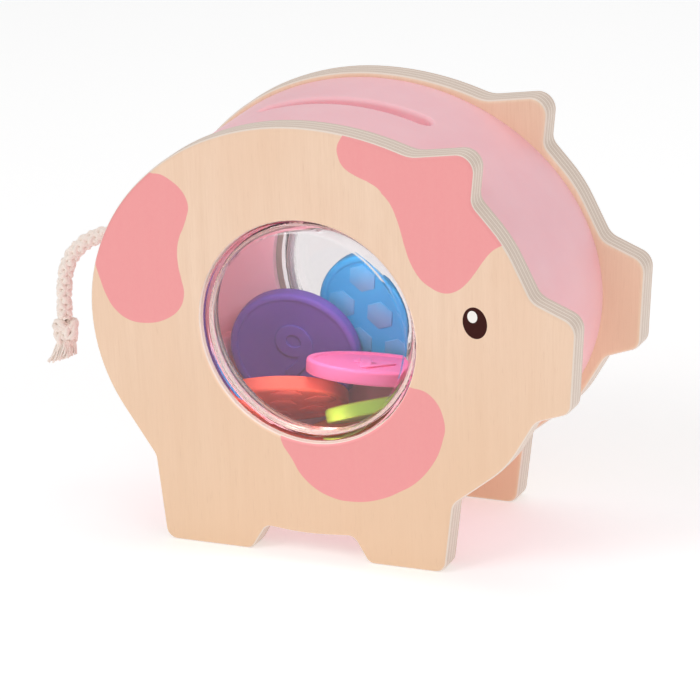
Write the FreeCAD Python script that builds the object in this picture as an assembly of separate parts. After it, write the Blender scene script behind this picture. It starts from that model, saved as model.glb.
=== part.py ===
"""Wooden pig money box, built as an assembly of separate pieces.

Two pig-shaped plywood side panels hold a hollow plastic drum between them.
Coins drop through the slot in the drum's band and pile up inside it, where they
are seen through a clear window in each panel.  The left window is a door that
pulls out to empty the box.  A soft rope tail leaves the drum's rear.

Units are millimetres.  +X points to the snout, +Z up, and the right panel is on
the -Y side.  The origin is on the floor, under the middle of the box.
"""
import FreeCAD, Part
import math
import os

from FreeCAD import Vector

# ---------------------------------------------------------------- driving sizes
# side panels
body_length = 194.0         # oval part of the silhouette, rear to front
body_height = 169.6         # oval part of the silhouette, low to high
body_lift = 12.2            # floor to the lowest point of that oval
snout_reach = 16.0          # the snout stands this far ahead of the oval
panel_thickness = 12.0
panel_round = 1.8           # rounded rim of each panel
belly_clearance = 10.0      # floor to the belly, between the feet

# drum between the panels
drum_width = 68.0
drum_inset = 2.0            # the drum's outline inside the panels' oval
band_wall = 4.0
end_wall = 3.0
end_hole_margin = 1.7       # hole in each end wall, wider than the plywood's hole
fit_gap = 0.2               # between drum pieces that slot together

# coin slot
slot_length = 74.0
slot_width = 8.0
slot_lip_round = 1.8
slot_collar_wall = 3.0      # collar moulded round the slot, inside the band
slot_collar_drop = 10.0     # the collar hangs this far below the band's inner top

# windows
window_bore_radius = 46.8   # hole through the plywood
window_bore_round = 1.4
window_gap = 0.3            # clear plastic inside the plywood hole
window_skin = 2.5
window_corner = 3.0
window_recess = 0.4         # window face below the panel's face
flange_width = 6.0
flange_thickness = 2.5
flange_gap = 0.1

# door in the left panel
socket_wall = 2.6
door_gap = 0.3
door_plug_wall = 2.3
door_plug_depth = 8.0
door_corner = 1.6
seal_thickness = 2.0
seal_squeeze_gap = 0.05
notch_radius = 9.0          # finger notch in the plywood beside the door
notch_depth = 4.0

# fasteners and pegs
screw_shank_radius = 1.75
screw_length = 12.0
screw_head_radius = 3.5     # countersunk, flush with the end wall
screw_head_height = 1.8
screw_hole_gap = 0.15
pilot_gap = 0.02
peg_radius = 2.5
peg_length = 12.0
peg_gap = 0.05
boss_radius = 4.5
fixing_inset = 8.0          # screws and bosses stand this far inside the band
screw_angles = [0, 55, 125, 231, 309]
boss_angles = [30, 148, 212, 330]

# coins
coin_radius = 28.0
coin_thickness = 6.0
coin_rim = 3.2
coin_front_recess = 1.2
coin_back_recess = 0.8
coin_round = 1.2
coin_places = {
    # along X from the drum's middle, Y, height over the drum's floor, then where
    # the front faces: turn and lean in degrees
    "coin_orange": (-2, -2, 12, 0, 84),
    "coin_coral": (-33, -4, 32, 202, 56),
    "coin_lime": (17, -3, 34, 221, 66),
    "coin_pink": (10, -5, 50, 173, 77),
    "coin_purple": (-36, 20, 45, 6, -11),
    "coin_sky_blue": (1, 26, 63, 175, 10),
}

# rope tail
rope_radius = 3.0
rope_hole_gap = 0.4
knot_radius = 5.4
knot_height = 12.0
tuft_height = 8.5
tuft_radius = 6.8
inner_knot_radius = 5.6
inner_knot_length = 10.0
inner_knot_gap = 0.4        # between that knot and the band's inner face
tail_height = 18.0          # the rope leaves the drum this far over its middle

# ---------------------------------------------------------------- worked-out sizes
centre_x = -snout_reach / 2
centre_z = body_lift + body_height / 2
half_length = body_length / 2
half_height = body_height / 2
snout_front = centre_x + half_length + snout_reach
inner_y = drum_width / 2
outer_y = inner_y + panel_thickness
window_x = centre_x - 1.4
window_z = centre_z - 0.8
drum_a = half_length - drum_inset
drum_b = half_height - drum_inset
window_radius = window_bore_radius - window_gap
flange_radius = window_radius + flange_width
end_hole_radius = window_bore_radius + end_hole_margin
drum_floor = centre_z - drum_b + band_wall


# ---------------------------------------------------------------- helpers
def rounded_wire(corners):
    """Closed wire in the XZ plane through corners (x, z, radius), rounded by arcs.

    A radius of None takes as much of both sides as the neighbours leave.
    """
    count = len(corners)
    points = [Vector(x, 0, z) for x, z, radius in corners]
    halves = []
    cuts = []
    for i in range(count):
        back = (points[i - 1] - points[i]).normalize()
        ahead = (points[(i + 1) % count] - points[i]).normalize()
        halves.append(back.getAngle(ahead) / 2)
        radius = corners[i][2]
        cuts.append(None if radius is None else radius / math.tan(halves[i]))
    sides = [(points[(i + 1) % count] - points[i]).Length for i in range(count)]
    final = list(cuts)
    for i in range(count):
        if cuts[i] is None:
            before, after = cuts[i - 1], cuts[(i + 1) % count]
            room_before = sides[i - 1] / 2 if before is None else sides[i - 1] - before
            room_after = sides[i] / 2 if after is None else sides[i] - after
            final[i] = 0.99 * min(room_before, room_after)
    edges = []
    ends = []
    for i in range(count):
        back = (points[i - 1] - points[i]).normalize()
        ahead = (points[(i + 1) % count] - points[i]).normalize()
        middle = (back + ahead).normalize()
        radius = final[i] * math.tan(halves[i])
        start = points[i] + back * final[i]
        end = points[i] + ahead * final[i]
        top = points[i] + middle * (radius / math.sin(halves[i]) - radius)
        ends.append((start, end))
        edges.append(Part.Arc(start, top, end).toShape())
    for i in range(count):
        edges.append(Part.LineSegment(ends[i][1], ends[(i + 1) % count][0]).toShape())
    return Part.Wire(Part.__sortEdges__(edges))


def oval_face(a, b, y):
    """Ellipse face in the XZ plane at y, centred on the body's oval."""
    centre = Vector(centre_x, y, centre_z)
    if a >= b:
        curve = Part.Ellipse(centre + Vector(a, 0, 0), centre + Vector(0, 0, b), centre)
    else:
        curve = Part.Ellipse(centre + Vector(0, 0, b), centre + Vector(-a, 0, 0), centre)
    return Part.Face(Part.Wire(curve.toShape()))


def oval_plate(a, b, y_low, y_high):
    """Solid oval plate between two y values."""
    return oval_face(a, b, y_low).extrude(Vector(0, y_high - y_low, 0))


def rod_y(radius, x, z, y_low, y_high):
    """Round bar along Y."""
    return Part.makeCylinder(radius, y_high - y_low, Vector(x, y_low, z), Vector(0, 1, 0))


def stadium_z(length, width, x, y, z_low, z_high):
    """Upright prism with a round-ended oblong section, long side along X."""
    straight = length / 2 - width / 2
    a = Vector(x - straight, y - width / 2, z_low)
    b = Vector(x + straight, y - width / 2, z_low)
    c = Vector(x + straight, y + width / 2, z_low)
    d = Vector(x - straight, y + width / 2, z_low)
    right_tip = Vector(x + length / 2, y, z_low)
    left_tip = Vector(x - length / 2, y, z_low)
    edges = [
        Part.LineSegment(a, b).toShape(),
        Part.Arc(b, right_tip, c).toShape(),
        Part.LineSegment(c, d).toShape(),
        Part.Arc(d, left_tip, a).toShape(),
    ]
    return Part.Face(Part.Wire(edges)).extrude(Vector(0, 0, z_high - z_low))


def revolve_y(profile, x, z):
    """Solid of revolution about the Y axis through (x, z), from (radius, y) points."""
    points = [Vector(x + radius, y, z) for radius, y in profile]
    wire = Part.makePolygon(points + points[:1])
    return Part.Face(wire).revolve(Vector(x, 0, z), Vector(0, 1, 0), 360)


def edges_in_plane(shape, y, keep):
    """Edges of the shape that lie in the plane y and whose middle passes keep."""
    found = []
    for edge in shape.Edges:
        middle = edge.valueAt((edge.FirstParameter + edge.LastParameter) / 2)
        flat = all(abs(vertex.Y - y) < 1e-6 for vertex in edge.Vertexes)
        if flat and abs(middle.y - y) < 1e-6 and keep(middle):
            found.append(edge)
    return found


def round_rims(cylinder):
    """The two circular edges of a cylinder."""
    return [edge for edge in cylinder.Edges if edge.isClosed()]


def near_window(point, radius):
    """True when a point is on the circle of this radius about the window's axis."""
    return abs(math.hypot(point.x - window_x, point.z - window_z) - radius) < 0.01


def fixing_spots(angles):
    """(x, z) places just inside the band, at these angles."""
    a = drum_a - band_wall - fixing_inset
    b = drum_b - band_wall - fixing_inset
    turns = [math.radians(angle) for angle in angles]
    return [(centre_x + a * math.cos(t), centre_z + b * math.sin(t)) for t in turns]


# ---------------------------------------------------------------- side panels
def silhouette():
    """Corners of the pig's outline, anticlockwise from the rear foot."""
    def x_at(share):
        return centre_x + share * half_length

    def z_at(share):
        return centre_z + share * half_height

    corners = [
        (x_at(-0.699), 0.0, 5.0),                           # rear foot
        (x_at(-0.305), 0.0, 4.0),
        (x_at(-0.236), belly_clearance + 0.9, 4.0),         # belly
        (x_at(-0.062), belly_clearance - 0.8, 110.0),
        (x_at(0.161), belly_clearance + 0.9, 4.0),
        (x_at(0.227), 0.0, 4.0),                            # front foot
        (x_at(0.569), 0.0, 5.0),
        (x_at(0.614), z_at(-0.790), 6.0),
        (x_at(0.855), z_at(-0.576), 45.0),                  # jaw
        (x_at(0.986), z_at(-0.330), 7.0),
        (snout_front - 2.5, z_at(-0.269), 5.5),             # snout
        (snout_front + 0.38, z_at(0.170), 7.0),
        (x_at(0.982), z_at(0.259), 8.0),
        (x_at(0.869), z_at(0.525), 60.0),                   # forehead
        (x_at(0.730), z_at(0.705), 6.0),
        (x_at(0.757), z_at(0.955), 7.0),                    # ear
        (x_at(0.466), z_at(0.906), 14.0),
    ]
    step = math.radians(24)
    for k in range(6):                                      # back, round the oval
        turn = math.radians(78) + k * step
        x = x_at(math.cos(turn) / math.cos(step / 2))
        z = z_at(math.sin(turn) / math.cos(step / 2))
        corners.append((x, z, None))
    corners.append((x_at(-0.735), z_at(-0.719), 7.0))       # top of the rear leg
    return corners


def make_side_panel(side):
    """Pig-shaped plywood panel; side is -1 for the right panel, +1 for the left."""
    face = Part.Face(rounded_wire(silhouette()))
    panel = face.extrude(Vector(0, panel_thickness, 0))
    y_low = -outer_y if side < 0 else inner_y
    y_outer = side * outer_y
    y_inner = side * inner_y
    panel.translate(Vector(0, y_low, 0))
    panel = panel.makeFillet(panel_round, edges_in_plane(panel, y_outer, lambda p: True))
    panel = panel.makeFillet(panel_round, edges_in_plane(panel, y_inner, lambda p: True))
    panel = panel.cut(rod_y(window_bore_radius, window_x, window_z, -2 * outer_y, 2 * outer_y))
    rim = edges_in_plane(panel, y_outer, lambda p: near_window(p, window_bore_radius))
    panel = panel.makeFillet(window_bore_round, rim)
    rebate_radius = flange_radius + window_gap
    rebate_y = sorted([y_inner, y_inner + side * (flange_thickness + flange_gap)])
    panel = panel.cut(rod_y(rebate_radius, window_x, window_z, rebate_y[0], rebate_y[1]))
    for x, z in fixing_spots(screw_angles):
        reach = screw_length - end_wall + 0.5
        depth = sorted([y_inner, y_inner + side * reach])
        panel = panel.cut(rod_y(screw_shank_radius + pilot_gap, x, z, depth[0], depth[1]))
    if side > 0:
        notch_x = window_x - window_bore_radius
        notch = rod_y(notch_radius, notch_x, window_z, y_outer - notch_depth, y_outer + 1)
        panel = panel.cut(notch)
    return panel


# ---------------------------------------------------------------- drum
def make_drum_band():
    """Oval band between the panels, with the coin slot and the tail's hole."""
    inner_a = drum_a - band_wall
    inner_b = drum_b - band_wall
    band = oval_plate(drum_a, drum_b, -inner_y, inner_y)
    band = band.cut(oval_plate(inner_a, inner_b, -inner_y - 1, inner_y + 1))
    collar = stadium_z(
        slot_length + 2 * slot_collar_wall, slot_width + 2 * slot_collar_wall, window_x, 0,
        centre_z + inner_b - slot_collar_drop, centre_z + half_height)
    band = band.fuse(collar.common(oval_plate(inner_a + 1, inner_b + 1, -inner_y, inner_y)))
    slot = stadium_z(slot_length, slot_width, window_x, 0, centre_z, centre_z + half_height + 5)
    band = band.cut(slot).removeSplitter()
    lips = []
    for edge in band.Edges:
        middle = edge.valueAt((edge.FirstParameter + edge.LastParameter) / 2)
        share = math.hypot((middle.x - centre_x) / drum_a, (middle.z - centre_z) / drum_b)
        if abs(share - 1) < 1e-4 and abs(middle.y) < slot_width and middle.z > centre_z:
            lips.append(edge)
    band = band.makeFillet(slot_lip_round, lips)
    hole_start = Vector(centre_x - half_length, 0, tail_route[0].z)
    hole = Part.makeCylinder(rope_radius + rope_hole_gap, half_length / 2, hole_start, Vector(1, 0, 0))
    return band.cut(hole)


def make_drum_end(side):
    """Plain end wall with its window hole and screw holes."""
    a = drum_a - band_wall - fit_gap
    b = drum_b - band_wall - fit_gap
    y = sorted([side * inner_y, side * (inner_y - end_wall)])
    plate = oval_plate(a, b, y[0], y[1])
    plate = plate.cut(rod_y(end_hole_radius, window_x, window_z, y[0] - 1, y[1] + 1))
    y_seat = side * (inner_y - end_wall)
    for x, z in fixing_spots(screw_angles):
        hole_radius = screw_shank_radius + screw_hole_gap
        plate = plate.cut(rod_y(hole_radius, x, z, y[0] - 1, y[1] + 1))
        sink = Part.makeCone(
            screw_head_radius + screw_hole_gap, hole_radius, screw_head_height,
            Vector(x, y_seat, z), Vector(0, side, 0))
        plate = plate.cut(sink)
    return plate


def make_drum_end_left():
    """Left end wall, moulded in one with four bosses that reach the right one."""
    y_wall = inner_y - end_wall
    y_open = -inner_y + end_wall + fit_gap
    body = make_drum_end(1)
    for x, z in fixing_spots(boss_angles):
        body = body.fuse(rod_y(boss_radius, x, z, y_open, y_wall + end_wall / 2))
    for x, z in fixing_spots(boss_angles):
        depth = peg_length + 1.0
        body = body.cut(rod_y(peg_radius + peg_gap, x, z, y_open - 1, y_open + depth))
    return body.removeSplitter()


def make_drum_end_right():
    """Right end wall with the pegs that press into the bosses."""
    plate = make_drum_end(-1)
    y_wall = -inner_y + end_wall
    for x, z in fixing_spots(boss_angles):
        plate = plate.fuse(rod_y(peg_radius, x, z, y_wall - 1, y_wall + peg_length))
    return plate.removeSplitter()


# ---------------------------------------------------------------- windows and door
def make_window_right():
    """Fixed clear cup: a flat face, a skirt through the plywood and a flange."""
    y_face = -outer_y + window_recess
    y_flange = -inner_y - flange_thickness
    inside = window_radius - window_skin
    cup = revolve_y([
        (0, y_face), (window_radius, y_face), (window_radius, y_flange),
        (flange_radius, y_flange), (flange_radius, -inner_y), (inside, -inner_y),
        (inside, y_face + window_skin), (0, y_face + window_skin),
    ], window_x, window_z)
    rim = edges_in_plane(cup, y_face, lambda p: near_window(p, window_radius))
    cup = cup.makeFillet(window_corner, rim)
    corner = edges_in_plane(cup, y_face + window_skin, lambda p: near_window(p, inside))
    return cup.makeFillet(window_corner - 1, corner)


def make_door_socket():
    """Clear ring trapped in the left panel; the door plugs into it."""
    y_end = outer_y - window_recess - window_skin - door_gap
    inside = window_radius - socket_wall
    return revolve_y([
        (inside, inner_y), (flange_radius, inner_y),
        (flange_radius, inner_y + flange_thickness),
        (window_radius, inner_y + flange_thickness),
        (window_radius, y_end), (inside, y_end),
    ], window_x, window_z)


def make_coin_door():
    """Clear cap with a plug wall and a groove for its seal."""
    y_face = outer_y - window_recess
    y_lip = y_face - window_skin
    y_plug = y_lip - door_plug_depth
    plug = window_radius - socket_wall - door_gap
    groove = plug + door_gap - seal_squeeze_gap - seal_thickness
    inside = groove - door_plug_wall + 1.0
    y_groove = y_plug + 2.0
    cap = revolve_y([
        (0, y_face), (window_radius, y_face), (window_radius, y_lip), (plug, y_lip),
        (plug, y_groove + seal_thickness), (groove, y_groove + seal_thickness),
        (groove, y_groove), (plug, y_groove), (plug, y_plug),
        (inside, y_plug), (inside, y_lip), (0, y_lip),
    ], window_x, window_z)
    rim = edges_in_plane(cap, y_face, lambda p: near_window(p, window_radius))
    return cap.makeFillet(door_corner, rim)


def make_door_seal():
    """Rubber ring in the door's groove; it holds the door by friction."""
    plug = window_radius - socket_wall - door_gap
    outside = plug + door_gap - seal_squeeze_gap
    y_groove = outer_y - window_recess - window_skin - door_plug_depth + 2.0
    return Part.makeTorus(
        outside - seal_thickness / 2, seal_thickness / 2,
        Vector(window_x, y_groove + seal_thickness / 2, window_z), Vector(0, 1, 0))


# ---------------------------------------------------------------- fasteners
def make_panel_screws(side):
    """Countersunk wood screws through one end wall into its panel."""
    y_seat = side * (inner_y - end_wall)
    outward = Vector(0, side, 0)
    screws = []
    for x, z in fixing_spots(screw_angles):
        seat = Vector(x, y_seat, z)
        shank = Part.makeCylinder(screw_shank_radius, screw_length, seat, outward)
        head = Part.makeCone(
            screw_head_radius, screw_shank_radius, screw_head_height, seat, outward)
        recess = Part.makeCylinder(1.1, 1.0, seat, outward)
        screws.append(head.fuse(shank).cut(recess).removeSplitter())
    return Part.makeCompound(screws)


# ---------------------------------------------------------------- coins
def make_coin(along, across, height, turn, lean):
    """Coin with a raised rim, lying at its place in the drum.

    turn swings its front from -Y towards +X and lean tips it up towards +Z.
    """
    centre = Vector(centre_x + along, across, drum_floor + height)
    half = coin_thickness / 2
    disc = Part.makeCylinder(coin_radius, coin_thickness, Vector(0, 0, -half))
    disc = disc.makeFillet(coin_round, round_rims(disc))
    field = coin_radius - coin_rim
    disc = disc.cut(Part.makeCylinder(field, coin_thickness, Vector(0, 0, half - coin_front_recess)))
    floor_low = -half + coin_back_recess
    disc = disc.cut(Part.makeCylinder(field, coin_thickness, Vector(0, 0, floor_low), Vector(0, 0, -1)))
    turn, lean = math.radians(turn), math.radians(lean)
    front = Vector(
        math.sin(turn) * math.cos(lean), -math.cos(turn) * math.cos(lean), math.sin(lean))
    disc.Placement = FreeCAD.Placement(centre, FreeCAD.Rotation(Vector(0, 0, 1), front))
    return disc


# ---------------------------------------------------------------- rope tail
tail_rise = (tail_height + inner_knot_radius) / (drum_b - band_wall)
tail_reach = (drum_a - band_wall) * math.sqrt(1 - tail_rise ** 2)
tail_start = Vector(centre_x - tail_reach + inner_knot_gap, 0, centre_z + tail_height)
tail_rear = Vector(centre_x - half_length, 0, centre_z + tail_height)
tail_route = [
    tail_start,
    tail_rear + Vector(-5.2, 0, 0),
    tail_rear + Vector(-19.5, 0, -3.2),
    tail_rear + Vector(-30.6, 0, -11.6),
    tail_rear + Vector(-35.7, 0, -24.5),
    tail_rear + Vector(-35.7, 0, -41.0),
]


def make_tail_rope():
    """Tube along the route: straight runs joined by arcs tangent to both."""
    edges = []
    start = tail_route[0]
    for before, corner, after in zip(tail_route, tail_route[1:], tail_route[2:]):
        back = (before - corner).normalize()
        ahead = (after - corner).normalize()
        half = back.getAngle(ahead) / 2
        cut = 0.45 * min((before - corner).Length, (after - corner).Length)
        radius = cut * math.tan(half)
        middle = (back + ahead).normalize()
        top = corner + middle * (radius / math.sin(half) - radius)
        edges.append(Part.LineSegment(start, corner + back * cut).toShape())
        edges.append(Part.Arc(corner + back * cut, top, corner + ahead * cut).toShape())
        start = corner + ahead * cut
        print("tail bend radius %.1f mm" % radius)
    edges.append(Part.LineSegment(start, tail_route[-1]).toShape())
    path = Part.Wire(edges)
    section = Part.Wire(Part.Circle(tail_route[0], Vector(-1, 0, 0), rope_radius).toShape())
    rope = path.makePipeShell([section], True, False)
    print("tail length %.1f mm, volume %.1f of %.1f mm3" % (
        path.Length, rope.Volume, math.pi * rope_radius ** 2 * path.Length))
    return rope


def make_tail_knot():
    """Knot that ends the rope."""
    end = tail_route[-1]
    knot = Part.makeCylinder(knot_radius, knot_height, end, Vector(0, 0, -1))
    return knot.makeFillet(0.4 * knot_height, round_rims(knot))


def make_tail_tuft():
    """Frayed end below the knot."""
    top = tail_route[-1] + Vector(0, 0, -knot_height)
    waist = knot_radius - 0.4 * knot_height
    return Part.makeCone(max(waist, 2.0), tuft_radius, tuft_height, top, Vector(0, 0, -1))


def make_tail_inner_knot():
    """Knot inside the band that keeps the rope from pulling out."""
    start = tail_route[0]
    knot = Part.makeCylinder(inner_knot_radius, inner_knot_length, start, Vector(1, 0, 0))
    return knot.makeFillet(2.4, round_rims(knot))


# ---------------------------------------------------------------- write the parts
def main():
    parts = {
        "side_panel_right": make_side_panel(-1),
        "side_panel_left": make_side_panel(1),
        "drum_band": make_drum_band(),
        "drum_end_left": make_drum_end_left(),
        "drum_end_right": make_drum_end_right(),
        "window_right": make_window_right(),
        "door_socket": make_door_socket(),
        "coin_door": make_coin_door(),
        "door_seal": make_door_seal(),
        "panel_screws_right": make_panel_screws(-1),
        "panel_screws_left": make_panel_screws(1),
        "tail_rope": make_tail_rope(),
        "tail_knot": make_tail_knot(),
        "tail_tuft": make_tail_tuft(),
        "tail_inner_knot": make_tail_inner_knot(),
    }
    for name, place in coin_places.items():
        parts[name] = make_coin(*place)
    os.makedirs("parts", exist_ok=True)
    for name, shape in parts.items():
        print("%-20s solids %d  volume %9.1f  valid %s" % (
            name, len(shape.Solids), shape.Volume, shape.isValid()))
        shape.exportStep("parts/%s.step" % name)


main()
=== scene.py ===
# %% [markdown]
# # A wooden pig money box
# Two plywood pigs hold a hollow pink drum between them, play coins lie behind round
# clear windows, and a soft rope tail hangs at the rear.  This lesson builds what the
# eye sees around the CAD model: wood, paint, plastics, coins and rope.
# The CAD pieces come first, because every new piece takes its place from them.

# %% Load the model
import math
import random

import bmesh
import bpy
from mathutils import Matrix, Vector


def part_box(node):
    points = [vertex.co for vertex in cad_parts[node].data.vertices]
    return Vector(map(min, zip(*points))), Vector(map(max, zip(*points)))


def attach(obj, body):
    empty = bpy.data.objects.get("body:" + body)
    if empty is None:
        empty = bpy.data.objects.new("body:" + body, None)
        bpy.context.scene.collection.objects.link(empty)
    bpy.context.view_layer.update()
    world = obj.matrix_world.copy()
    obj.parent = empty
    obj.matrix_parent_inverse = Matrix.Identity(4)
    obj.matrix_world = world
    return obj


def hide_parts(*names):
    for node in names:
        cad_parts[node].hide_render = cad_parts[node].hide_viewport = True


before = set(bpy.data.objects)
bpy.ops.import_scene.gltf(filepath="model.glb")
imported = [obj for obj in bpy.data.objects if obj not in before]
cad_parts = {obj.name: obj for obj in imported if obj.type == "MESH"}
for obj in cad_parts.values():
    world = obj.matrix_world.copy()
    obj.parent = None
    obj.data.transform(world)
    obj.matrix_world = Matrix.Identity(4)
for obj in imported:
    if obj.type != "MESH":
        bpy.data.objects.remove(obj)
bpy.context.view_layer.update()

MM = 0.001

# %% [markdown]
# ## Camera
# The box stands on a white table and is seen from its right side, a little from the
# front and from above.  A long lens from almost two metres keeps the two panels close
# to the same size.  The camera is aimed by its own three directions, so its slight
# sideways tilt is one more rotation about the line of sight.

# %% Camera
CAMERA_AZIMUTH = math.radians(23.72)
CAMERA_HEIGHT = math.radians(19.66)
CAMERA_ROLL = math.radians(-2.14)
CAMERA_TARGET = Vector((0.00941, -0.046, 0.09131))
CAMERA_DISTANCE = 1.84126
LENS_LENGTH = 238.35
SENSOR_WIDTH = 36

back = Vector((
    math.sin(CAMERA_AZIMUTH) * math.cos(CAMERA_HEIGHT),
    -math.cos(CAMERA_AZIMUTH) * math.cos(CAMERA_HEIGHT),
    math.sin(CAMERA_HEIGHT)))
right = back.cross(Vector((0, 0, -1))).normalized()
up = back.cross(right)
right, up = (
    math.cos(CAMERA_ROLL) * right + math.sin(CAMERA_ROLL) * up,
    math.cos(CAMERA_ROLL) * up - math.sin(CAMERA_ROLL) * right)
camera = bpy.data.objects.new("camera", bpy.data.cameras.new("camera"))
camera.data.lens = LENS_LENGTH
camera.data.sensor_width = SENSOR_WIDTH
turn = Matrix((right, up, back)).transposed().to_4x4()
camera.matrix_world = Matrix.Translation(CAMERA_TARGET + back * CAMERA_DISTANCE) @ turn
bpy.context.scene.collection.objects.link(camera)
bpy.context.scene.camera = camera
print("camera at", [round(value, 3) for value in camera.matrix_world.translation])

# %% [markdown]
# ## Shader helpers
# Materials here are node trees built node by node.  A few short helpers add a node and
# link or set its inputs in one call, so that each material below reads like a recipe.
# Colours are given as screen values and turned into the linear values shaders use.

# %% Shader helpers
def add_node(tree, kind, inputs=None, **settings):
    """A shader node with its settings, and its inputs set or linked."""
    made = tree.nodes.new("ShaderNode" + kind)
    for key, value in settings.items():
        setattr(made, key, value)
    for key, value in (inputs or {}).items():
        socket = made.inputs[key]
        if isinstance(value, bpy.types.NodeSocket):
            tree.links.new(value, socket)
        else:
            socket.default_value = value
    return made


def srgb(red, green, blue):
    """Screen colour, 0 to 255, as the linear colour that shaders use."""
    def linear(value):
        value = value / 255
        return value / 12.92 if value <= 0.04045 else ((value + 0.055) / 1.055) ** 2.4
    return (linear(red), linear(green), linear(blue), 1)


def new_material(name):
    """Empty material: its node tree, with an output node."""
    made = bpy.data.materials.new(name)
    made.use_nodes = True
    made.node_tree.nodes.clear()
    return made, made.node_tree


def principled(tree, inputs):
    """Principled shader joined to a new output."""
    shader = add_node(tree, "BsdfPrincipled", inputs)
    add_node(tree, "OutputMaterial", {"Surface": shader.outputs[0]})
    return shader


print("shader helpers ready, mid grey is %.3f in linear light" % srgb(128, 128, 128)[0])

# %% [markdown]
# ## Floor
# The table is one large plain plane.  It glows a little, so that it stays almost white
# and its shadows stay pale, as under the wide lamps of a product studio.

# %% Floor
FLOOR_SIZE = 8

floor_material, tree = new_material("white_table")
principled(tree, {
    "Base Color": (0.9, 0.9, 0.9, 1), "Roughness": 0.6,
    "Emission Color": (1, 1, 1, 1), "Emission Strength": 0.3})
bpy.ops.mesh.primitive_plane_add(size=FLOOR_SIZE, location=(0, 0, 0))
floor = bpy.context.object
floor.name = "floor"
floor.data.materials.append(floor_material)
print("floor is %d m wide" % FLOOR_SIZE)

# %% [markdown]
# ## Light
# A white world lights everything evenly, and three softboxes shape the form: the key
# at the front left, a weaker fill at the front right and one above and behind.
# Two weak discs inside the drum light the coins, because what comes in through the
# slot and windows alone leaves them dim.  They are hidden from the camera, from
# reflections and from the clear plastic, so only their light shows.

# %% Studio light
world = bpy.data.worlds.new("studio")
world.use_nodes = True
world.node_tree.nodes["Background"].inputs["Color"].default_value = (1, 1, 1, 1)
world.node_tree.nodes["Background"].inputs["Strength"].default_value = 0.5
bpy.context.scene.world = world
bpy.context.scene.view_settings.view_transform = "Standard"


def softbox(name, place, size, power):
    """Square area light aimed at the middle of the box."""
    lamp = bpy.data.lights.new(name, "AREA")
    lamp.size = size
    lamp.energy = power
    made = bpy.data.objects.new(name, lamp)
    made.location = place
    aim = Vector((0, 0, 0.08)) - Vector(place)
    made.rotation_euler = aim.to_track_quat("-Z", "Y").to_euler()
    bpy.context.scene.collection.objects.link(made)
    return made


softbox("key", (-0.9, -1.3, 1.5), 1.0, 10.5)
softbox("fill", (1.4, -0.9, 0.9), 1.2, 4.5)
softbox("top", (0.1, 0.5, 1.7), 1.2, 5.5)
print("softboxes set")


# %% Lamps in the drum
def inner_lamp(name, place, aim, size, power, colour):
    """Small lamp in the drum that only lights, and is never seen itself."""
    made = softbox(name, place, size, power)
    made.data.shape = "DISK"
    made.data.color = colour
    made.rotation_euler = (Vector(aim) - Vector(place)).to_track_quat("-Z", "Y").to_euler()
    made.visible_camera = made.visible_glossy = made.visible_transmission = False


inner_lamp("inside_high", (-0.0094, -0.034, 0.128), (-0.005, 0.015, 0.070), 0.03, 0.055,
           (0.86, 0.93, 1.0))
inner_lamp("inside_low", (-0.0140, -0.038, 0.047), (-0.022, -0.010, 0.052), 0.02, 0.013,
           (1.0, 0.86, 0.80))

# %% [markdown]
# ## Helpers for pieces
# Every new piece is a bmesh turned into an object that stays at the origin: its place
# is in its vertices.  It rides on a body, so it follows that body's joint.

# %% Piece helpers
def piece_from_bmesh(name, shape, body, materials, smooth=True):
    """Object from a bmesh, riding on a body and painted with the materials."""
    mesh = bpy.data.meshes.new(name)
    shape.to_mesh(mesh)
    shape.free()
    made = bpy.data.objects.new(name, mesh)
    bpy.context.scene.collection.objects.link(made)
    for material in materials:
        mesh.materials.append(material)
    mesh.polygons.foreach_set("use_smooth", [smooth] * len(mesh.polygons))
    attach(made, body)
    return made


def paint(node, material):
    """Gives a CAD piece one material."""
    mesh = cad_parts[node].data
    mesh.materials.clear()
    mesh.materials.append(material)


print("CAD pieces:", len(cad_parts))

# %% [markdown]
# ## Rope tail
# The tail is a short soft cotton rope, braided from eight strands.  It leaves the drum
# straight backwards, droops under its own weight and ends in a knot with a frayed
# tuft.  The centre line is one smooth spline with the CAD tube's own points.
# The strands are thin tubes that wind round that line, half each way, because a braid
# shows its strands in its outline, which a bump on a plain tube can't give.

# %% Rope centre line
TAIL_ROUTE = [
    (-0.0944, 0, 0.1150), (-0.1102, 0, 0.1150), (-0.1245, 0, 0.1118),
    (-0.1356, 0, 0.1034), (-0.1407, 0, 0.0905), (-0.1407, 0, 0.0740),
]
ROPE_RADIUS = 0.0030


def spline_points(route, name="line"):
    """Points along a smooth spline whose control points are the route."""
    curve = bpy.data.curves.new(name, "CURVE")
    curve.dimensions = "3D"
    curve.resolution_u = 24
    spline = curve.splines.new("NURBS")
    spline.points.add(len(route) - 1)
    for point, place in zip(spline.points, route):
        point.co = (*place, 1)
    spline.order_u = 3
    spline.use_endpoint_u = True
    holder = bpy.data.objects.new(name, curve)
    bpy.context.scene.collection.objects.link(holder)
    mesh = bpy.data.meshes.new_from_object(holder)
    points = [vertex.co.copy() for vertex in mesh.vertices]
    bpy.data.objects.remove(holder)
    bpy.data.curves.remove(curve)
    bpy.data.meshes.remove(mesh)
    return points


tail_line = spline_points(TAIL_ROUTE)

# %% [markdown]
# Strands need a line with evenly spaced points to wind round.  A curve object with a
# round bevel then turns each strand's line into a tube, which is less work and gives
# cleaner ends than joining rings of vertices by hand.

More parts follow.
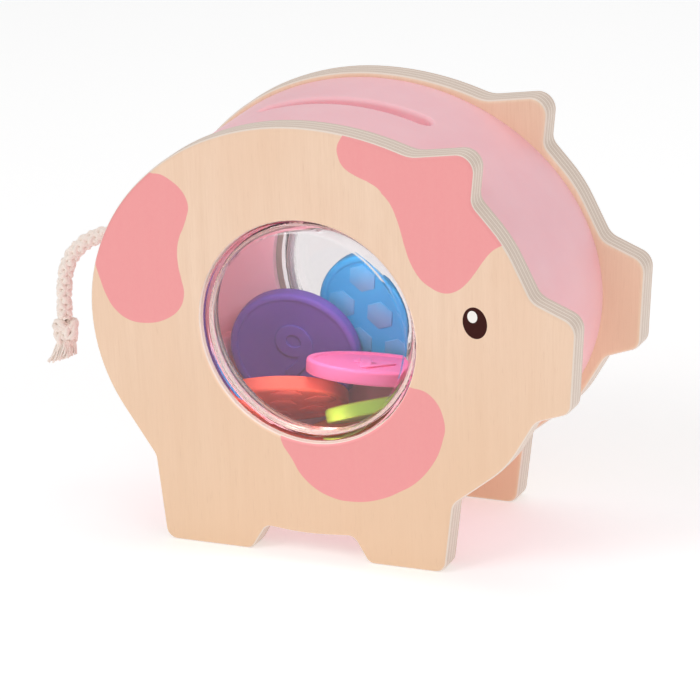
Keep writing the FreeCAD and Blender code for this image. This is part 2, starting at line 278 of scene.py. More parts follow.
# %% Even points and winding lines
def resampled(points, step):
    """Points at an even step along a line."""
    marks = [0.0]
    for a, b in zip(points, points[1:]):
        marks.append(marks[-1] + (b - a).length)
    count = max(2, round(marks[-1] / step))
    even = []
    at = 0
    for k in range(count + 1):
        want = marks[-1] * k / count
        while at < len(points) - 2 and marks[at + 1] < want:
            at += 1
        share = (want - marks[at]) / max(1e-9, marks[at + 1] - marks[at])
        even.append(points[at].lerp(points[at + 1], min(1, share)))
    return even


def wound_lines(points, count, radius, pitch):
    """Lines that wind round a centre line, a whole turn in each pitch."""
    side = Vector((0, 1, 0))
    lines = [[] for _ in range(count)]
    walked = 0.0
    for k, point in enumerate(points):
        ahead = points[min(k + 1, len(points) - 1)]
        behind = points[max(k - 1, 0)]
        along = (ahead - behind).normalized()
        side = (side - along * side.dot(along)).normalized()
        other = along.cross(side)
        if k:
            walked += (point - points[k - 1]).length
        for n in range(count):
            angle = 2 * math.pi * (walked / pitch + n / count)
            lines[n].append(point + (side * math.cos(angle) + other * math.sin(angle)) * radius)
    return lines


print("helpers for winding lines ready")


# %% Tubes along lines
def tubes(name, lines, radius, sides=3, taper=False):
    """Round tubes along lines, as one bmesh."""
    curve = bpy.data.curves.new(name, "CURVE")
    curve.dimensions = "3D"
    curve.bevel_depth = radius
    curve.bevel_resolution = sides
    curve.use_fill_caps = True
    for line in lines:
        spline = curve.splines.new("POLY")
        spline.points.add(len(line) - 1)
        for k, (point, place) in enumerate(zip(spline.points, line)):
            point.co = (*place, 1)
            point.radius = 1 - 0.4 * k / len(line) if taper else 1
    holder = bpy.data.objects.new(name, curve)
    bpy.context.scene.collection.objects.link(holder)
    mesh = bpy.data.meshes.new_from_object(holder)
    shape = bmesh.new()
    shape.from_mesh(mesh)
    bpy.data.objects.remove(holder)
    bpy.data.curves.remove(curve)
    bpy.data.meshes.remove(mesh)
    bmesh.ops.recalc_face_normals(shape, faces=shape.faces)
    return shape


print("helper for tubes ready")

# %% [markdown]
# In a round braid half of the strands wind one way and half the other way.  Where two
# cross, one lies over the other, so each strand's distance from the middle rises and
# falls like a wave, and the two halves have opposite waves.

# %% Braid
BRAID_HALF = 4
STRAND_SHARE = 0.38
CROSSING_LIFT = 0.38


def braided_rope(name, points, radius, pitch):
    """Eight strands, half winding each way and passing over and under each other."""
    strand = radius * STRAND_SHARE
    ring = radius - strand
    lines = []
    for hand in (1, -1):
        for line in wound_lines(points, BRAID_HALF, 1.0, hand * pitch):
            over = len(lines) % 2 * math.pi
            bent = []
            walked = 0.0
            for k, (middle, place) in enumerate(zip(points, line)):
                if k:
                    walked += (middle - points[k - 1]).length
                turns = 2 * math.pi * walked / pitch * BRAID_HALF
                lift = ring + hand * strand * CROSSING_LIFT * math.cos(turns + over)
                bent.append(middle + (place - middle) * lift)
            lines.append(bent)
    return tubes(name, lines, strand, 2)


print("a braid has", 2 * BRAID_HALF, "strands")

# %% [markdown]
# Cotton is matt and a little fuzzy, so its material has a high roughness, a sheen and
# fine fibres from stretched noise.  Warm shade sits between the strands.

# %% Pattern helpers
def fine_noise(tree, vector, scale, detail=3.0, roughness=0.5):
    """Value of a noise texture on a vector."""
    made = add_node(tree, "TexNoise", {
        "Vector": vector, "Scale": scale, "Detail": detail, "Roughness": roughness})
    return made.outputs["Fac"]


def scaled(tree, vector, scale, rotation=(0, 0, 0), shift=(0, 0, 0)):
    """The vector through a Mapping node."""
    made = add_node(tree, "Mapping", {
        "Vector": vector, "Scale": scale, "Rotation": rotation, "Location": shift})
    return made.outputs[0]


def mixed(tree, factor, low, high):
    """Colour between two colours, or links."""
    made = add_node(tree, "Mix", data_type="RGBA")
    for index, value in ((0, factor), (6, low), (7, high)):
        socket = made.inputs[index]
        if isinstance(value, bpy.types.NodeSocket):
            tree.links.new(value, socket)
        else:
            socket.default_value = value
    return made.outputs[2]


def calc(tree, operation, first, second=0.0, third=0.0, clamp=False):
    """One Math node."""
    made = add_node(tree, "Math", operation=operation, use_clamp=clamp)
    for index, value in ((0, first), (1, second), (2, third)):
        if isinstance(value, bpy.types.NodeSocket):
            tree.links.new(value, made.inputs[index])
        else:
            made.inputs[index].default_value = value
    return made.outputs[0]


def ramp(tree, value, low, high):
    """Value stretched so that low gives 0 and high gives 1, held between them."""
    made = add_node(tree, "MapRange", {"Value": value, "From Min": low, "From Max": high})
    return made.outputs[0]


def object_place(tree):
    """Position on the object, which stays the same when the object moves."""
    return add_node(tree, "TexCoord").outputs["Object"]


print("pattern helpers ready")

# %% Cotton
cotton, tree = new_material("cotton_rope")
place = object_place(tree)
fibre = fine_noise(tree, scaled(tree, place, (1, 1, 0.35)), 2600, 2.0)
broad = fine_noise(tree, place, 160, 2.0)
colour = mixed(tree, fibre, srgb(248, 226, 213), srgb(255, 248, 240))
colour = mixed(tree, ramp(tree, broad, 0.35, 0.75), colour, srgb(254, 241, 231))
bump = add_node(tree, "Bump", {"Height": fibre, "Strength": 0.55, "Distance": 0.0004})
principled(tree, {
    "Base Color": colour, "Roughness": 0.92, "Sheen Weight": 0.35, "Sheen Roughness": 0.5,
    "Normal": bump.outputs[0]})
print("cotton has", len(tree.nodes), "nodes")

# %% [markdown]
# The rope follows the CAD tube's line.  It is a little wider than the tube, because
# only the crests of its strands reach that far out.

# %% Rope
ROPE_STEP = 0.0006
ROPE_SWELL = 1.06
BRAID_PITCH = 0.018
rope_line = resampled(tail_line, ROPE_STEP)
rope = piece_from_bmesh(
    "rope_tail", braided_rope("rope_tail", rope_line, ROPE_RADIUS * ROPE_SWELL, BRAID_PITCH),
    "money_box", [cotton])
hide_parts("tail_rope")
print("rope has", len(rope.data.polygons), "faces")

# %% [markdown]
# Both ends of the rope are knotted: one knot is seen, and one inside the drum keeps the
# rope from pulling out.  A trefoil is the mathematician's closed overhand knot, so its
# formula gives a line that loops over and under itself, and the same braid follows it.

# %% Knots
def overhand_knot(centre, width, height, steps=150):
    """Closed-looking overhand loop, drawn with the formula of a trefoil."""
    points = []
    for k in range(steps + 1):
        t = 2 * math.pi * k / steps
        x = math.sin(t) + 2 * math.sin(2 * t)
        y = math.cos(t) - 2 * math.cos(2 * t)
        z = -math.sin(3 * t)
        points.append(centre + Vector((x / 3 * width, z * width * 0.55, y / 3 * height)))
    return points


def make_knot(name, node, centre, width, height):
    line = resampled(overhand_knot(centre, width, height), ROPE_STEP)
    made = piece_from_bmesh(
        name, braided_rope(name, line, ROPE_RADIUS, BRAID_PITCH), "money_box",
        [cotton])
    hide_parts(node)
    return made


low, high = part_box("tail_knot")
knot_centre = (Vector(low) + Vector(high)) / 2
knot = make_knot("rope_knot", "tail_knot", knot_centre, 0.0035, 0.0040)
low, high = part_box("tail_inner_knot")
inner_centre = (Vector(low) + Vector(high)) / 2
inner_knot = make_knot("rope_inner_knot", "tail_inner_knot", inner_centre, 0.0032, 0.0036)
print("knots:", knot.name, inner_knot.name)

# %% [markdown]
# Below the knot the strands are combed out into a tuft.  Its fibres start close
# together, spread like a fan and lean to the rear, and the rear ones reach lowest.
# A fixed random seed makes the same tuft each time.

# %% Tuft
FIBRES = 110
FIBRE_STEPS = 10
FIBRE_RADIUS = 0.0006
REAR_SWEEP = 0.0024

random.seed(7)
low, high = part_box("tail_tuft")
tuft_top = Vector((knot_centre.x, 0, high[2] + 0.003))
fibres = []
for k in range(FIBRES):
    angle = random.uniform(0, 2 * math.pi)
    spread = (high[0] - low[0]) / 2 * 0.92 * math.sqrt(random.random())
    lean = math.cos(angle) * spread / (high[0] - low[0])
    drop = (high[2] - low[2]) * (0.84 - 0.5 * lean) * random.uniform(0.92, 1.0) + 0.002
    bow = random.uniform(0.5, 0.9)
    line = []
    for step in range(FIBRE_STEPS):
        t = step / (FIBRE_STEPS - 1)
        reach = 0.0016 + (spread - 0.0016) * t ** bow
        wave = 0.0006 * t * math.sin(7 * t + k)
        line.append(tuft_top + Vector((
            math.cos(angle) * reach + wave - REAR_SWEEP * t * t, math.sin(angle) * reach - wave,
            -drop * t)))
    fibres.append(line)
tuft = piece_from_bmesh(
    "rope_tuft", tubes("rope_tuft", fibres, FIBRE_RADIUS, 1, taper=True),
    "money_box", [cotton])
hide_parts("tail_tuft")
print("tuft has", len(fibres), "fibres")

# %% [markdown]
# ## Plywood panels
# The panels are pale plywood with a clear matt lacquer: upright grain with short fine
# pores on the faces, and thin dark glue lines between the plies round every edge.
# The CAD panels already have the right shape and round edges, so they keep it and get
# a material.  The grain is a node group, so that each face can use its own values.
# It is stretched noise, because real pores are long in one direction only.

# %% Group helpers
def new_group(name, inputs, outputs):
    """Empty node group with typed sockets, its input node and its output node."""
    group = bpy.data.node_groups.new(name, "ShaderNodeTree")
    for title, kind in inputs:
        group.interface.new_socket(title, in_out="INPUT", socket_type="NodeSocket" + kind)
    for title, kind in outputs:
        group.interface.new_socket(title, in_out="OUTPUT", socket_type="NodeSocket" + kind)
    return group, group.nodes.new("NodeGroupInput"), group.nodes.new("NodeGroupOutput")


def use_group(tree, group, inputs):
    made = tree.nodes.new("ShaderNodeGroup")
    made.node_tree = group
    for key, value in inputs.items():
        if isinstance(value, bpy.types.NodeSocket):
            tree.links.new(value, made.inputs[key])
        else:
            made.inputs[key].default_value = value
    return made


print("group helpers ready")

# %% Grain group
grain_group, enter, leave = new_group(
    "upright_grain", [("Vector", "Vector"), ("Waviness", "Float")],
    [("Figure", "Float"), ("Pores", "Float"), ("Height", "Float")])
tree = grain_group
wander = add_node(tree, "TexNoise", {
    "Vector": scaled(tree, enter.outputs["Vector"], (1, 1, 0.4)), "Scale": 14.0, "Detail": 1.0})
offset = add_node(tree, "VectorMath", {0: wander.outputs["Color"]}, operation="SCALE")
tree.links.new(enter.outputs["Waviness"], offset.inputs["Scale"])
bent = add_node(tree, "VectorMath", {
    0: enter.outputs["Vector"], 1: offset.outputs[0]}, operation="ADD").outputs[0]
figure = fine_noise(tree, scaled(tree, bent, (1, 0.2, 0.035)), 260.0, 4.0, 0.6)
streaks = fine_noise(tree, scaled(tree, bent, (1, 0.3, 0.05)), 1500.0, 2.0, 0.6)
pores = add_node(tree, "TexNoise", {
    "Vector": scaled(tree, bent, (1, 1, 0.05)), "Scale": 2600.0, "Detail": 1.0})
pore_mask = ramp(tree, pores.outputs["Fac"], 0.66, 0.76)
together = calc(tree, "MULTIPLY_ADD", streaks, 0.45, calc(tree, "MULTIPLY", figure, 0.55))
tree.links.new(together, leave.inputs["Figure"])
tree.links.new(pore_mask, leave.inputs["Pores"])
tree.links.new(calc(tree, "SUBTRACT", together, pore_mask), leave.inputs["Height"])
print("grain group has", len(grain_group.nodes), "nodes")

# %% [markdown]
# The pink patches and the eyes are painted on the outer faces.  A patch is a mask in
# the material: its outline is a curve of distance against direction round the patch's
# middle, like a radar screen, which follows a free shape with few numbers.  Paint
# stops where the face rolls over into the bare edge.

# %% Painted patches
PATCHES = {
    "rump": ((-82, 125), [
        (-74.9, 157.4), (-70.5, 157.2), (-66.2, 155.2), (-62, 151.9), (-59.5, 147.9),
        (-58.8, 144.6), (-59.9, 139.9), (-61.5, 135.5), (-63.5, 131.1), (-64.6, 126),
        (-64.5, 119.6), (-63.5, 114.2), (-62.5, 107.5), (-64.9, 100.9), (-71.3, 95.8),
        (-79.7, 93.4), (-87.8, 94), (-93.8, 97.9), (-97.6, 103.9), (-99.8, 110.1),
        (-101.1, 114.3), (-102.7, 119.6), (-104.6, 126.5), (-109, 140), (-104, 156),
        (-92, 165), (-84, 161), (-79.3, 158.4)]),
    "shoulder": ((42, 158), [
        (8.8, 179.3), (7.1, 176), (7.3, 171.4), (9.2, 167.6), (13.2, 164.8), (19.6, 162.3),
        (24.3, 159.5), (27.4, 155.9), (29.2, 153.3), (31.2, 148.5), (32.7, 143.7),
        (34.2, 137.7), (36.1, 131.7), (38.5, 127), (41.3, 123.5), (44.7, 121.2),
        (48.8, 119.5), (52.2, 119.4), (56.1, 120.9), (60.4, 124.6), (63.9, 129.1),
        (67.3, 134), (70.4, 137.9), (73.4, 140.3), (80, 143), (95, 160), (80, 195),
        (42, 205), (14, 187)]),
    "belly": ((14, 52), [
        (-22.4, 49.4), (-17.9, 41.7), (-14.6, 36), (-10.4, 31.8), (-6.1, 29), (-1.8, 27.4),
        (2.6, 26.4), (6.9, 26.3), (11.3, 26.6), (15.7, 27.4), (20.1, 28.8), (24.5, 30.6),
        (28.9, 33.1), (33.3, 35.7), (37.8, 39.5), (42.2, 44.7), (45.9, 50.9), (48.2, 57.6),
        (49.2, 61.9), (48.5, 67.3), (46.5, 72.2), (42.4, 76.4), (39, 77.7), (35.6, 78.1),
        (29, 80), (14, 86), (-6, 76), (-22, 62)]),
}
PATCH_REACH = 100.0
print({name: len(outline) for name, (middle, outline) in PATCHES.items()}, "outline points")


# %% Masks for paint
def patch_mask(tree, x, z, middle, outline):
    """1 inside a patch, from the distance and direction to its middle, in mm."""
    across = calc(tree, "SUBTRACT", x, middle[0])
    rise = calc(tree, "SUBTRACT", z, middle[1])
    heading = calc(tree, "ARCTAN2", rise, across)
    share = calc(tree, "MULTIPLY_ADD", heading, 0.5 / math.pi, 0.5)
    reach = add_node(tree, "FloatCurve", {"Value": share})
    marks = []
    for px, pz in outline:
        direction = math.atan2(pz - middle[1], px - middle[0])
        distance = math.hypot(px - middle[0], pz - middle[1])
        marks.append((0.5 + direction / (2 * math.pi), distance / PATCH_REACH))
    marks.sort()
    first, last = marks[0], marks[-1]
    gap = first[0] + 1 - last[0]
    seam = last[1] + (first[1] - last[1]) * (1 - last[0]) / gap
    curve = reach.mapping.curves[0]
    curve.points[0].location = (0, seam)
    curve.points[1].location = (1, seam)
    for mark in marks:
        curve.points.new(*mark)
    reach.mapping.update()
    distance = calc(tree, "SQRT", calc(tree, "ADD", calc(tree, "POWER", across, 2.0),
                                       calc(tree, "POWER", rise, 2.0)))
    edge = calc(tree, "SUBTRACT", calc(tree, "MULTIPLY", reach.outputs[0], PATCH_REACH), distance)
    return calc(tree, "GREATER_THAN", edge, 0.0)


def oval_mask(tree, x, z, middle, half_width, half_height, tilt=0.0):
    """1 inside a small oval, in mm, leaning by tilt radians."""
    across = calc(tree, "SUBTRACT", x, middle[0])
    rise = calc(tree, "SUBTRACT", z, middle[1])
    turned = calc(tree, "MULTIPLY_ADD", rise, math.sin(tilt),
                  calc(tree, "MULTIPLY", across, math.cos(tilt)))
    lifted = calc(tree, "MULTIPLY_ADD", across, -math.sin(tilt),
                  calc(tree, "MULTIPLY", rise, math.cos(tilt)))
    sum_of_squares = calc(
        tree, "ADD", calc(tree, "POWER", calc(tree, "DIVIDE", turned, half_width), 2.0),
        calc(tree, "POWER", calc(tree, "DIVIDE", lifted, half_height), 2.0))
    return calc(tree, "LESS_THAN", sum_of_squares, 1.0)


print("mask helpers ready")

# %% [markdown]
# The panels' material works out how deep in the sheet a point lies.  Near a face it
# shows the face veneer: pale, with faint figure, a few pores and warm shade painted
# in low down.  Between the faces it shows the plies edge-on, with a thin glue line at
# each joint.  Every second ply has its grain turned, so it looks darker.

# %% Veneer and plies
PANEL_INNER = 34.0
PANEL_OUTER = 46.0
PLIES = 9
ROUNDING = 0.6

plywood, tree = new_material("plywood")
place = object_place(tree)
parts = add_node(tree, "SeparateXYZ", {"Vector": place})
x, y, z = (calc(tree, "MULTIPLY", parts.outputs[k], 1000.0) for k in range(3))
depth = calc(tree, "ABSOLUTE", y)
grain = use_group(tree, grain_group, {"Vector": place, "Waviness": 0.010})
tone = ramp(tree, grain.outputs["Figure"], 0.32, 0.66)
wood = mixed(tree, tone, srgb(239, 205, 177), srgb(248, 217, 191))
cloud = ramp(tree, fine_noise(tree, scaled(tree, place, (1, 1, 0.5)), 22.0, 2.0), 0.35, 0.7)
wood = mixed(tree, calc(tree, "MULTIPLY", cloud, 0.6), wood, srgb(240, 202, 172))
# Painted shade: the veneer colour turns warmer and deeper towards the bottom of the panels.
painted_low_shade = calc(tree, "MULTIPLY", ramp(tree, z, 110.0, 0.0), 0.7)
wood = mixed(tree, painted_low_shade, wood, srgb(238, 200, 163))
wood = mixed(tree, calc(tree, "MULTIPLY", grain.outputs["Pores"], 0.16), wood,
             srgb(206, 160, 128))

ply = calc(tree, "MULTIPLY", calc(tree, "SUBTRACT", depth, PANEL_INNER),
           PLIES / (PANEL_OUTER - PANEL_INNER))
within = calc(tree, "FRACT", ply)
turned_ply = calc(tree, "GREATER_THAN", calc(tree, "FRACT", calc(tree, "MULTIPLY", ply, 0.5)), 0.5)
edge_noise = fine_noise(tree, scaled(tree, place, (1, 0.3, 1)), 420.0, 3.0)
edge = mixed(tree, turned_ply, srgb(243, 228, 215), srgb(224, 205, 190))
edge = mixed(tree, calc(tree, "MULTIPLY", edge_noise, 0.5), edge, srgb(230, 212, 198))
glue = calc(tree, "LESS_THAN", calc(tree, "ABSOLUTE", calc(tree, "SUBTRACT", within, 0.5)), 0.42)
edge = mixed(tree, glue, srgb(204, 182, 166), edge)
from_outer = ramp(tree, depth, PANEL_OUTER - ROUNDING, PANEL_OUTER - ROUNDING / 2)
from_inner = ramp(tree, depth, PANEL_INNER + ROUNDING, PANEL_INNER + ROUNDING / 2)
face = calc(tree, "MAXIMUM", from_outer, from_inner)
bare = mixed(tree, face, edge, wood)
print("bare plywood has", len(tree.nodes), "nodes")

# %% [markdown]
# Paint goes over the veneer on the outer faces only.  It hides most of the figure, is a
# little glossier and stands a hair proud, which a second bump shows at its outline.
# The eye is a dark oval with a small pale oval for the glint.

# %% Paint over the plywood
EYE = ((63.2, 108.2), 5.15, 6.55, 0.1)
EYE_GLINT = ((62.2, 110.7), 2.1, 2.5)

masks = [patch_mask(tree, x, z, *PATCHES[name]) for name in PATCHES]
patch = calc(tree, "MAXIMUM", calc(tree, "MAXIMUM", masks[0], masks[1]), masks[2])
painted = calc(tree, "MULTIPLY", patch, calc(tree, "GREATER_THAN", depth, PANEL_OUTER - ROUNDING))
pink_noise = fine_noise(tree, place, 900.0, 2.0)
pink = mixed(tree, pink_noise, srgb(244, 154, 155), srgb(246, 160, 160))
pink = mixed(tree, calc(tree, "MULTIPLY", tone, 0.2), pink, srgb(247, 170, 168))
coloured = mixed(tree, painted, bare, pink)
outer_only = calc(tree, "GREATER_THAN", depth, PANEL_OUTER - 0.5)
eye = calc(tree, "MULTIPLY", outer_only, oval_mask(tree, x, z, *EYE))
glint = calc(tree, "MULTIPLY", outer_only, oval_mask(tree, x, z, *EYE_GLINT))
coloured = mixed(tree, eye, coloured, srgb(60, 22, 18))
coloured = mixed(tree, glint, coloured, srgb(250, 246, 240))
rough = calc(tree, "MULTIPLY_ADD", grain.outputs["Figure"], 0.2, 0.42)
rough = calc(tree, "SUBTRACT", rough, calc(tree, "MULTIPLY", painted, 0.08))
bump = add_node(tree, "Bump", {
    "Height": grain.outputs["Height"], "Strength": 0.18, "Distance": 0.0003})
film = add_node(tree, "Bump", {
    "Height": calc(tree, "MAXIMUM", painted, eye), "Strength": 0.25, "Distance": 0.00015,
    "Normal": bump.outputs[0]})
principled(tree, {
    "Base Color": coloured, "Roughness": rough, "Normal": film.outputs[0],
    "Specular IOR Level": calc(tree, "MULTIPLY_ADD", eye, -0.4, 0.5),
    "Coat Weight": 0.03, "Coat Roughness": 0.35})
for node in ("side_panel_right", "side_panel_left"):
    paint(node, plywood)
print("plywood has", len(tree.nodes), "nodes")

# %% [markdown]
# ## Moulded plastics
# The drum and the coins are satin plastic.  Moulded plastic isn't a flat colour: it
# has a faint mottle, a fine sparked texture and slightly uneven gloss.  One node group
# gives all three, and each plastic sets its own amounts.

# %% Plastic group
skin_group, enter, leave = new_group(
    "moulded_skin", [("Vector", "Vector"), ("Texture Scale", "Float")],
    [("Mottle", "Float"), ("Gloss", "Float"), ("Height", "Float")])
tree = skin_group
fine = add_node(tree, "TexNoise", {"Vector": enter.outputs["Vector"], "Detail": 2.0})
tree.links.new(enter.outputs["Texture Scale"], fine.inputs["Scale"])
mottle = fine_noise(tree, enter.outputs["Vector"], 45.0, 3.0)
gloss = fine_noise(tree, enter.outputs["Vector"], 150.0, 3.0, 0.6)
tree.links.new(mottle, leave.inputs["Mottle"])
tree.links.new(gloss, leave.inputs["Gloss"])
tree.links.new(fine.outputs["Fac"], leave.inputs["Height"])
print("skin group has", len(skin_group.nodes), "nodes")


# %% Pink plastic
def plastic(name, light, deep, roughness=0.42, texture=2200.0, strength=0.12, soft=0.0):
    """Satin plastic between two close colours."""
    made, tree = new_material(name)
    skin = use_group(tree, skin_group, {"Vector": object_place(tree), "Texture Scale": texture})
    colour = mixed(tree, ramp(tree, skin.outputs["Mottle"], 0.3, 0.7), deep, light)
    rough = calc(tree, "MULTIPLY_ADD", skin.outputs["Gloss"], 0.16, roughness - 0.08)
    bump = add_node(tree, "Bump", {
        "Height": skin.outputs["Height"], "Strength": strength, "Distance": 0.0002})
    principled(tree, {
        "Base Color": colour, "Roughness": rough, "Normal": bump.outputs[0],
        "Subsurface Weight": soft, "Subsurface Radius": (1, 0.5, 0.4), "Subsurface Scale": 0.003})
    return made


pink_plastic = plastic("pink_plastic", srgb(255, 202, 209), srgb(253, 195, 203), soft=0.15)
for node in ("drum_band", "drum_end_left", "drum_end_right"):
    paint(node, pink_plastic)
print("painted the drum with", pink_plastic.name)

# %% [markdown]
# ## Clear plastic
# The windows are clear moulded cups.  Their flat middles are thin sheets, which only
# reflect a little and let the rest straight through, so they're a mix of a see-through
# and a glossy shader by the Fresnel amount.  The thick round rims bend light strongly
# and are real glass.  Rays that only cast shadows or carry soft light pass straight
# through both, as they nearly do in thin plastic, so the coins behind are well lit.
#
# One weakness is left.  A Fresnel node takes a sheet's inner face for the inside of a
# solid block, which reflects everything past about 42 degrees off the window's axis, so
# the flat middles look black from there.  The Fresnel amount times one minus Geometry's
# Backfacing would keep them clear.

# %% Clear plastic
WINDOW_X = -9.4
WINDOW_Z = 96.2
FLAT_RADIUS = 42.0

clear, tree = new_material("clear_plastic")
place = object_place(tree)
skin = use_group(tree, skin_group, {"Vector": place, "Texture Scale": 600.0})
bump = add_node(tree, "Bump", {
    "Height": skin.outputs["Mottle"], "Strength": 0.05, "Distance": 0.0005})
parts = add_node(tree, "SeparateXYZ", {"Vector": place})
x, z = (calc(tree, "MULTIPLY", parts.outputs[k], 1000.0) for k in (0, 2))
across = calc(tree, "SUBTRACT", x, WINDOW_X)
rise = calc(tree, "SUBTRACT", z, WINDOW_Z)
reach = calc(tree, "SQRT", calc(tree, "ADD", calc(tree, "POWER", across, 2.0),
                                calc(tree, "POWER", rise, 2.0)))
rim = ramp(tree, reach, FLAT_RADIUS - 0.6, FLAT_RADIUS)
glass = add_node(tree, "BsdfPrincipled", {
    "Base Color": (0.98, 0.94, 0.945, 1), "IOR": 1.49, "Transmission Weight": 1.0,
    "Roughness": 0.015, "Normal": bump.outputs[0]})
passing = add_node(tree, "BsdfTransparent", {"Color": (0.96, 0.95, 0.952, 1)})
shine = add_node(tree, "BsdfGlossy", {"Roughness": 0.03, "Normal": bump.outputs[0]})
fresnel = add_node(tree, "Fresnel", {"IOR": 1.49})
flat = add_node(tree, "MixShader", {
    0: fresnel.outputs[0], 1: passing.outputs[0], 2: shine.outputs[0]})
body = add_node(tree, "MixShader", {0: rim, 1: flat.outputs[0], 2: glass.outputs[0]})
path = add_node(tree, "LightPath")
soft_rays = calc(tree, "MAXIMUM", path.outputs["Is Shadow Ray"], path.outputs["Is Diffuse Ray"])
either = add_node(tree, "MixShader", {0: soft_rays, 1: body.outputs[0], 2: passing.outputs[0]})
add_node(tree, "OutputMaterial", {"Surface": either.outputs[0]})
for node in ("window_right", "door_socket", "coin_door"):
    paint(node, clear)
print("clear plastic has", len(tree.nodes), "nodes")

# %% [markdown]
# ## Steel and rubber
# The screws and the door's ring are small and mostly hidden.  Zinc-plated steel has a
# fine uneven sheen, and the ring is soft milky rubber.

# %% Steel and rubber
steel, tree = new_material("screw_steel")
skin = use_group(tree, skin_group, {"Vector": object_place(tree), "Texture Scale": 3000.0})
colour = mixed(tree, skin.outputs["Gloss"], srgb(176, 178, 180), srgb(206, 207, 205))
rough = calc(tree, "MULTIPLY_ADD", skin.outputs["Height"], 0.25, 0.22)
principled(tree, {"Base Color": colour, "Metallic": 1.0, "Roughness": rough})
rubber = plastic("seal_rubber", srgb(226, 226, 224), srgb(214, 214, 212), 0.55, 1500.0, 0.2)
for node in ("panel_screws_right", "panel_screws_left"):
    paint(node, steel)
paint("door_seal", rubber)
print("painted the screws and the seal")

# %% [markdown]
# ## Coins
# Each play coin has a raised rim with a round edge, a sunk field, a raised number on
# its front and hexagon pads on its back.  The disc is a profile spun round the coin's
# axis: a coin is round, so a spin gives its exact shape and evenly spaced faces.

# %% Coin blank
COIN_RADIUS = 28.0
COIN_HALF = 3.0
RIM_WIDTH = 3.2
FRONT_SINK = 1.2
BACK_SINK = 0.8
EDGE_ROUND = 1.2
EDGE_STEPS = 5
SPIN_STEPS = 96


def spun_disc():
    """Coin blank in mm, its axis along Z, front up."""
    shape = bmesh.new()
    field = COIN_RADIUS - RIM_WIDTH
    front = COIN_HALF - FRONT_SINK
    rear = -COIN_HALF + BACK_SINK
    profile = [(0, front), (field - 0.5, front), (field, front + 0.3),
               (field + 0.25, COIN_HALF - 0.25), (field + 0.7, COIN_HALF)]
    for start, middle in ((90, COIN_HALF - EDGE_ROUND), (0, -COIN_HALF + EDGE_ROUND)):
        for k in range(EDGE_STEPS):
            turn = math.radians(start - 22.5 * k)
            profile.append((COIN_RADIUS - EDGE_ROUND + EDGE_ROUND * math.cos(turn),
                            middle + EDGE_ROUND * math.sin(turn)))
    profile += [(field + 0.7, -COIN_HALF), (field + 0.25, -COIN_HALF + 0.25),
                (field, rear - 0.2), (field - 0.5, rear), (0, rear)]
    corners = [shape.verts.new((radius, 0, height)) for radius, height in profile]
    edges = [shape.edges.new(pair) for pair in zip(corners, corners[1:])]
    bmesh.ops.spin(
        shape, geom=corners + edges, cent=(0, 0, 0), axis=(0, 0, 1),
        angle=2 * math.pi, steps=SPIN_STEPS, use_merge=True)
    bmesh.ops.remove_doubles(shape, verts=shape.verts, dist=0.001)
    bmesh.ops.recalc_face_normals(shape, faces=shape.faces)
    return shape


blank = spun_disc()
print("coin blank has", len(blank.faces), "faces")
blank.free()

# %% [markdown]
# The pads on the back are six-sided prisms with bevelled top edges, one in the middle
# and six round it.  They belong to the same mesh, in a second material.

# %% Pads
PAD_ACROSS = 5.7
PAD_PITCH = 17.6
PAD_HEIGHT = 0.45
PAD_BEVEL = 0.3


def add_pad(shape, x, y, floor, height):
    """Raised hexagon on the back, its top edges rounded, in material 1."""
    before = set(shape.faces)
    made = bmesh.ops.create_cone(
        shape, cap_ends=True, segments=6, radius1=PAD_ACROSS / math.cos(math.pi / 6),
        radius2=PAD_ACROSS / math.cos(math.pi / 6), depth=height + 0.6)
    bmesh.ops.translate(shape, verts=made["verts"], vec=(x, y, floor + 0.3 - height / 2))
    lowest = min(vertex.co.z for vertex in made["verts"])
    tops = [edge for edge in {e for v in made["verts"] for e in v.link_edges}
            if all(abs(vertex.co.z - lowest) < 1e-6 for vertex in edge.verts)]
    bmesh.ops.bevel(
        shape, geom=tops, offset=PAD_BEVEL, offset_type="OFFSET", affect="EDGES", segments=2,
        profile=0.5, material=-1)
    for face in set(shape.faces) - before:
        face.material_index = 1


def add_pads(shape):
    """One pad in the middle of the back and six round it."""
    rear = -COIN_HALF + BACK_SINK
    add_pad(shape, 0, 0, rear, PAD_HEIGHT)
    for k in range(6):
        turn = math.radians(60 * k)
        add_pad(shape, PAD_PITCH * math.cos(turn), PAD_PITCH * math.sin(turn), rear, PAD_HEIGHT)


print("pads stand %.2f mm high, under the rim" % PAD_HEIGHT)

# %% [markdown]
# The number is a text object with a little thickness and a bevel, made into a mesh.
# That gives clean round digits, and the bevel gives them the soft edges of a moulding.

# %% Number
def number_shape(digit):
    """Raised digit, in mm, standing on z = 0 and centred."""
    text = bpy.data.curves.new("digit", "FONT")
    text.body = digit
    text.size = 34
    text.extrude = 0.5
    text.bevel_depth = 0.25
    text.bevel_resolution = 2
    text.offset = 0.5
    text.align_x = "CENTER"
    text.align_y = "CENTER"
    holder = bpy.data.objects.new("digit", text)
    bpy.context.scene.collection.objects.link(holder)
    mesh = bpy.data.meshes.new_from_object(holder)
    bpy.data.objects.remove(holder)
    bpy.data.curves.remove(text)
    xs = [vertex.co.x for vertex in mesh.vertices]
    ys = [vertex.co.y for vertex in mesh.vertices]
    middle = Vector(((min(xs) + max(xs)) / 2, (min(ys) + max(ys)) / 2, 0))
    mesh.transform(Matrix.Translation(-middle))
    return mesh


print("helper for numbers ready")

# %% [markdown]
# One matrix takes a coin from its own millimetre space to its place in the drum: the
# middle of its CAD box, turned so that its front faces the right way.
# Flat faces are shaded flat and curved ones smooth, so the pads keep crisp outlines.

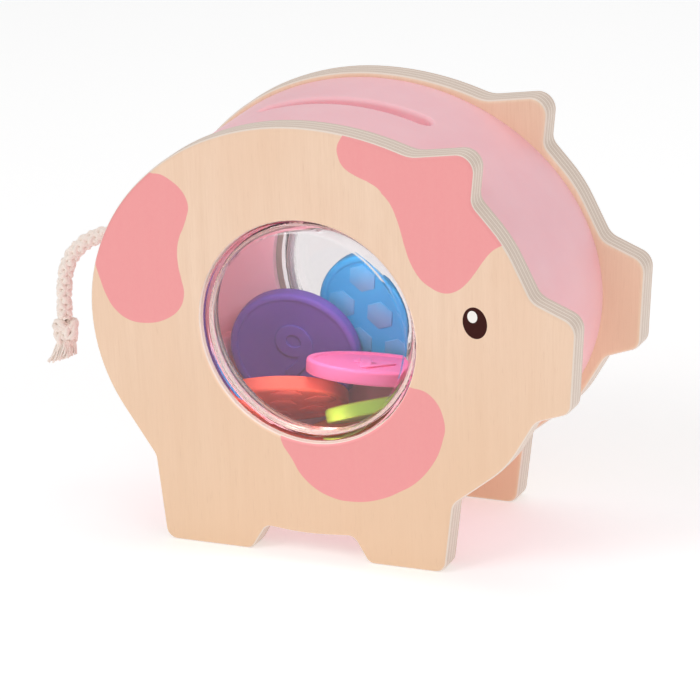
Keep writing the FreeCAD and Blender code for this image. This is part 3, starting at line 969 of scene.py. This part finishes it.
# %% One coin
def coin_matrix(node, turn, lean, twist):
    """Places a coin at its CAD box's middle, its front facing turn and lean."""
    low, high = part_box(node)
    middle = (Vector(low) + Vector(high)) / 2
    turn, lean = math.radians(turn), math.radians(lean)
    facing = Vector((
        math.sin(turn) * math.cos(lean), -math.cos(turn) * math.cos(lean), math.sin(lean)))
    swing = facing.to_track_quat("Z", "Y").to_matrix().to_4x4()
    spin = Matrix.Rotation(math.radians(twist), 4, "Z")
    return Matrix.Translation(middle) @ swing @ spin @ Matrix.Scale(MM, 4)


def make_coin(node, digit, turn, lean, twist, materials):
    shape = spun_disc()
    add_pads(shape)
    digit_mesh = number_shape(digit)
    digit_mesh.transform(Matrix.Translation((0, 0, COIN_HALF - FRONT_SINK)))
    shape.from_mesh(digit_mesh)
    bpy.data.meshes.remove(digit_mesh)
    bmesh.ops.transform(shape, matrix=coin_matrix(node, turn, lean, twist), verts=shape.verts)
    made = piece_from_bmesh("play_" + node, shape, node + "_body", materials)
    facing = coin_matrix(node, turn, lean, twist).to_3x3() @ Vector((0, 0, 1))
    facing.normalize()
    for polygon in made.data.polygons:
        polygon.use_smooth = abs(polygon.normal.dot(facing)) < 0.999
    made.data.set_sharp_from_angle(angle=math.radians(35))
    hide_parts(node)
    return made


print("coins are %d mm across" % (2 * COIN_RADIUS))

# %% [markdown]
# Six coins lie in the drum, each in its own colour and at its own angle.  Each rides on
# its own body, so it can shift in the pile.

# %% Coins in the drum
# digit, then turn, lean and twist in degrees, then light, deep and pad colours
COINS = {
    "coin_orange": ("5", 0, 84, 20, (244, 156, 46), (236, 142, 36), (240, 170, 90)),
    "coin_coral": ("3", 202, 56, 40, (255, 110, 90), (250, 96, 80), (250, 106, 98)),
    "coin_lime": ("7", 221, 66, 15, (182, 220, 78), (168, 208, 66), (184, 208, 112)),
    "coin_pink": ("4", 173, 77, 30, (255, 124, 176), (250, 110, 166), (240, 140, 180)),
    "coin_purple": ("9", 6, -11, 0, (122, 90, 186), (112, 82, 174), (136, 112, 188)),
    "coin_sky_blue": ("2", 175, 10, 10, (48, 168, 222), (40, 158, 214), (112, 166, 206)),
}
for node, (digit, turn, lean, twist, light, deep, pad) in COINS.items():
    body_material = plastic(node, srgb(*light), srgb(*deep), 0.45, 1800.0, 0.15, 0.12)
    pad_material = plastic(node + "_pads", srgb(*pad), srgb(*light), 0.5, 1800.0, 0.3, 0.12)
    coin = make_coin(node, digit, turn, lean, twist, [body_material, pad_material])
    print(coin.name, "faces", len(coin.data.polygons))
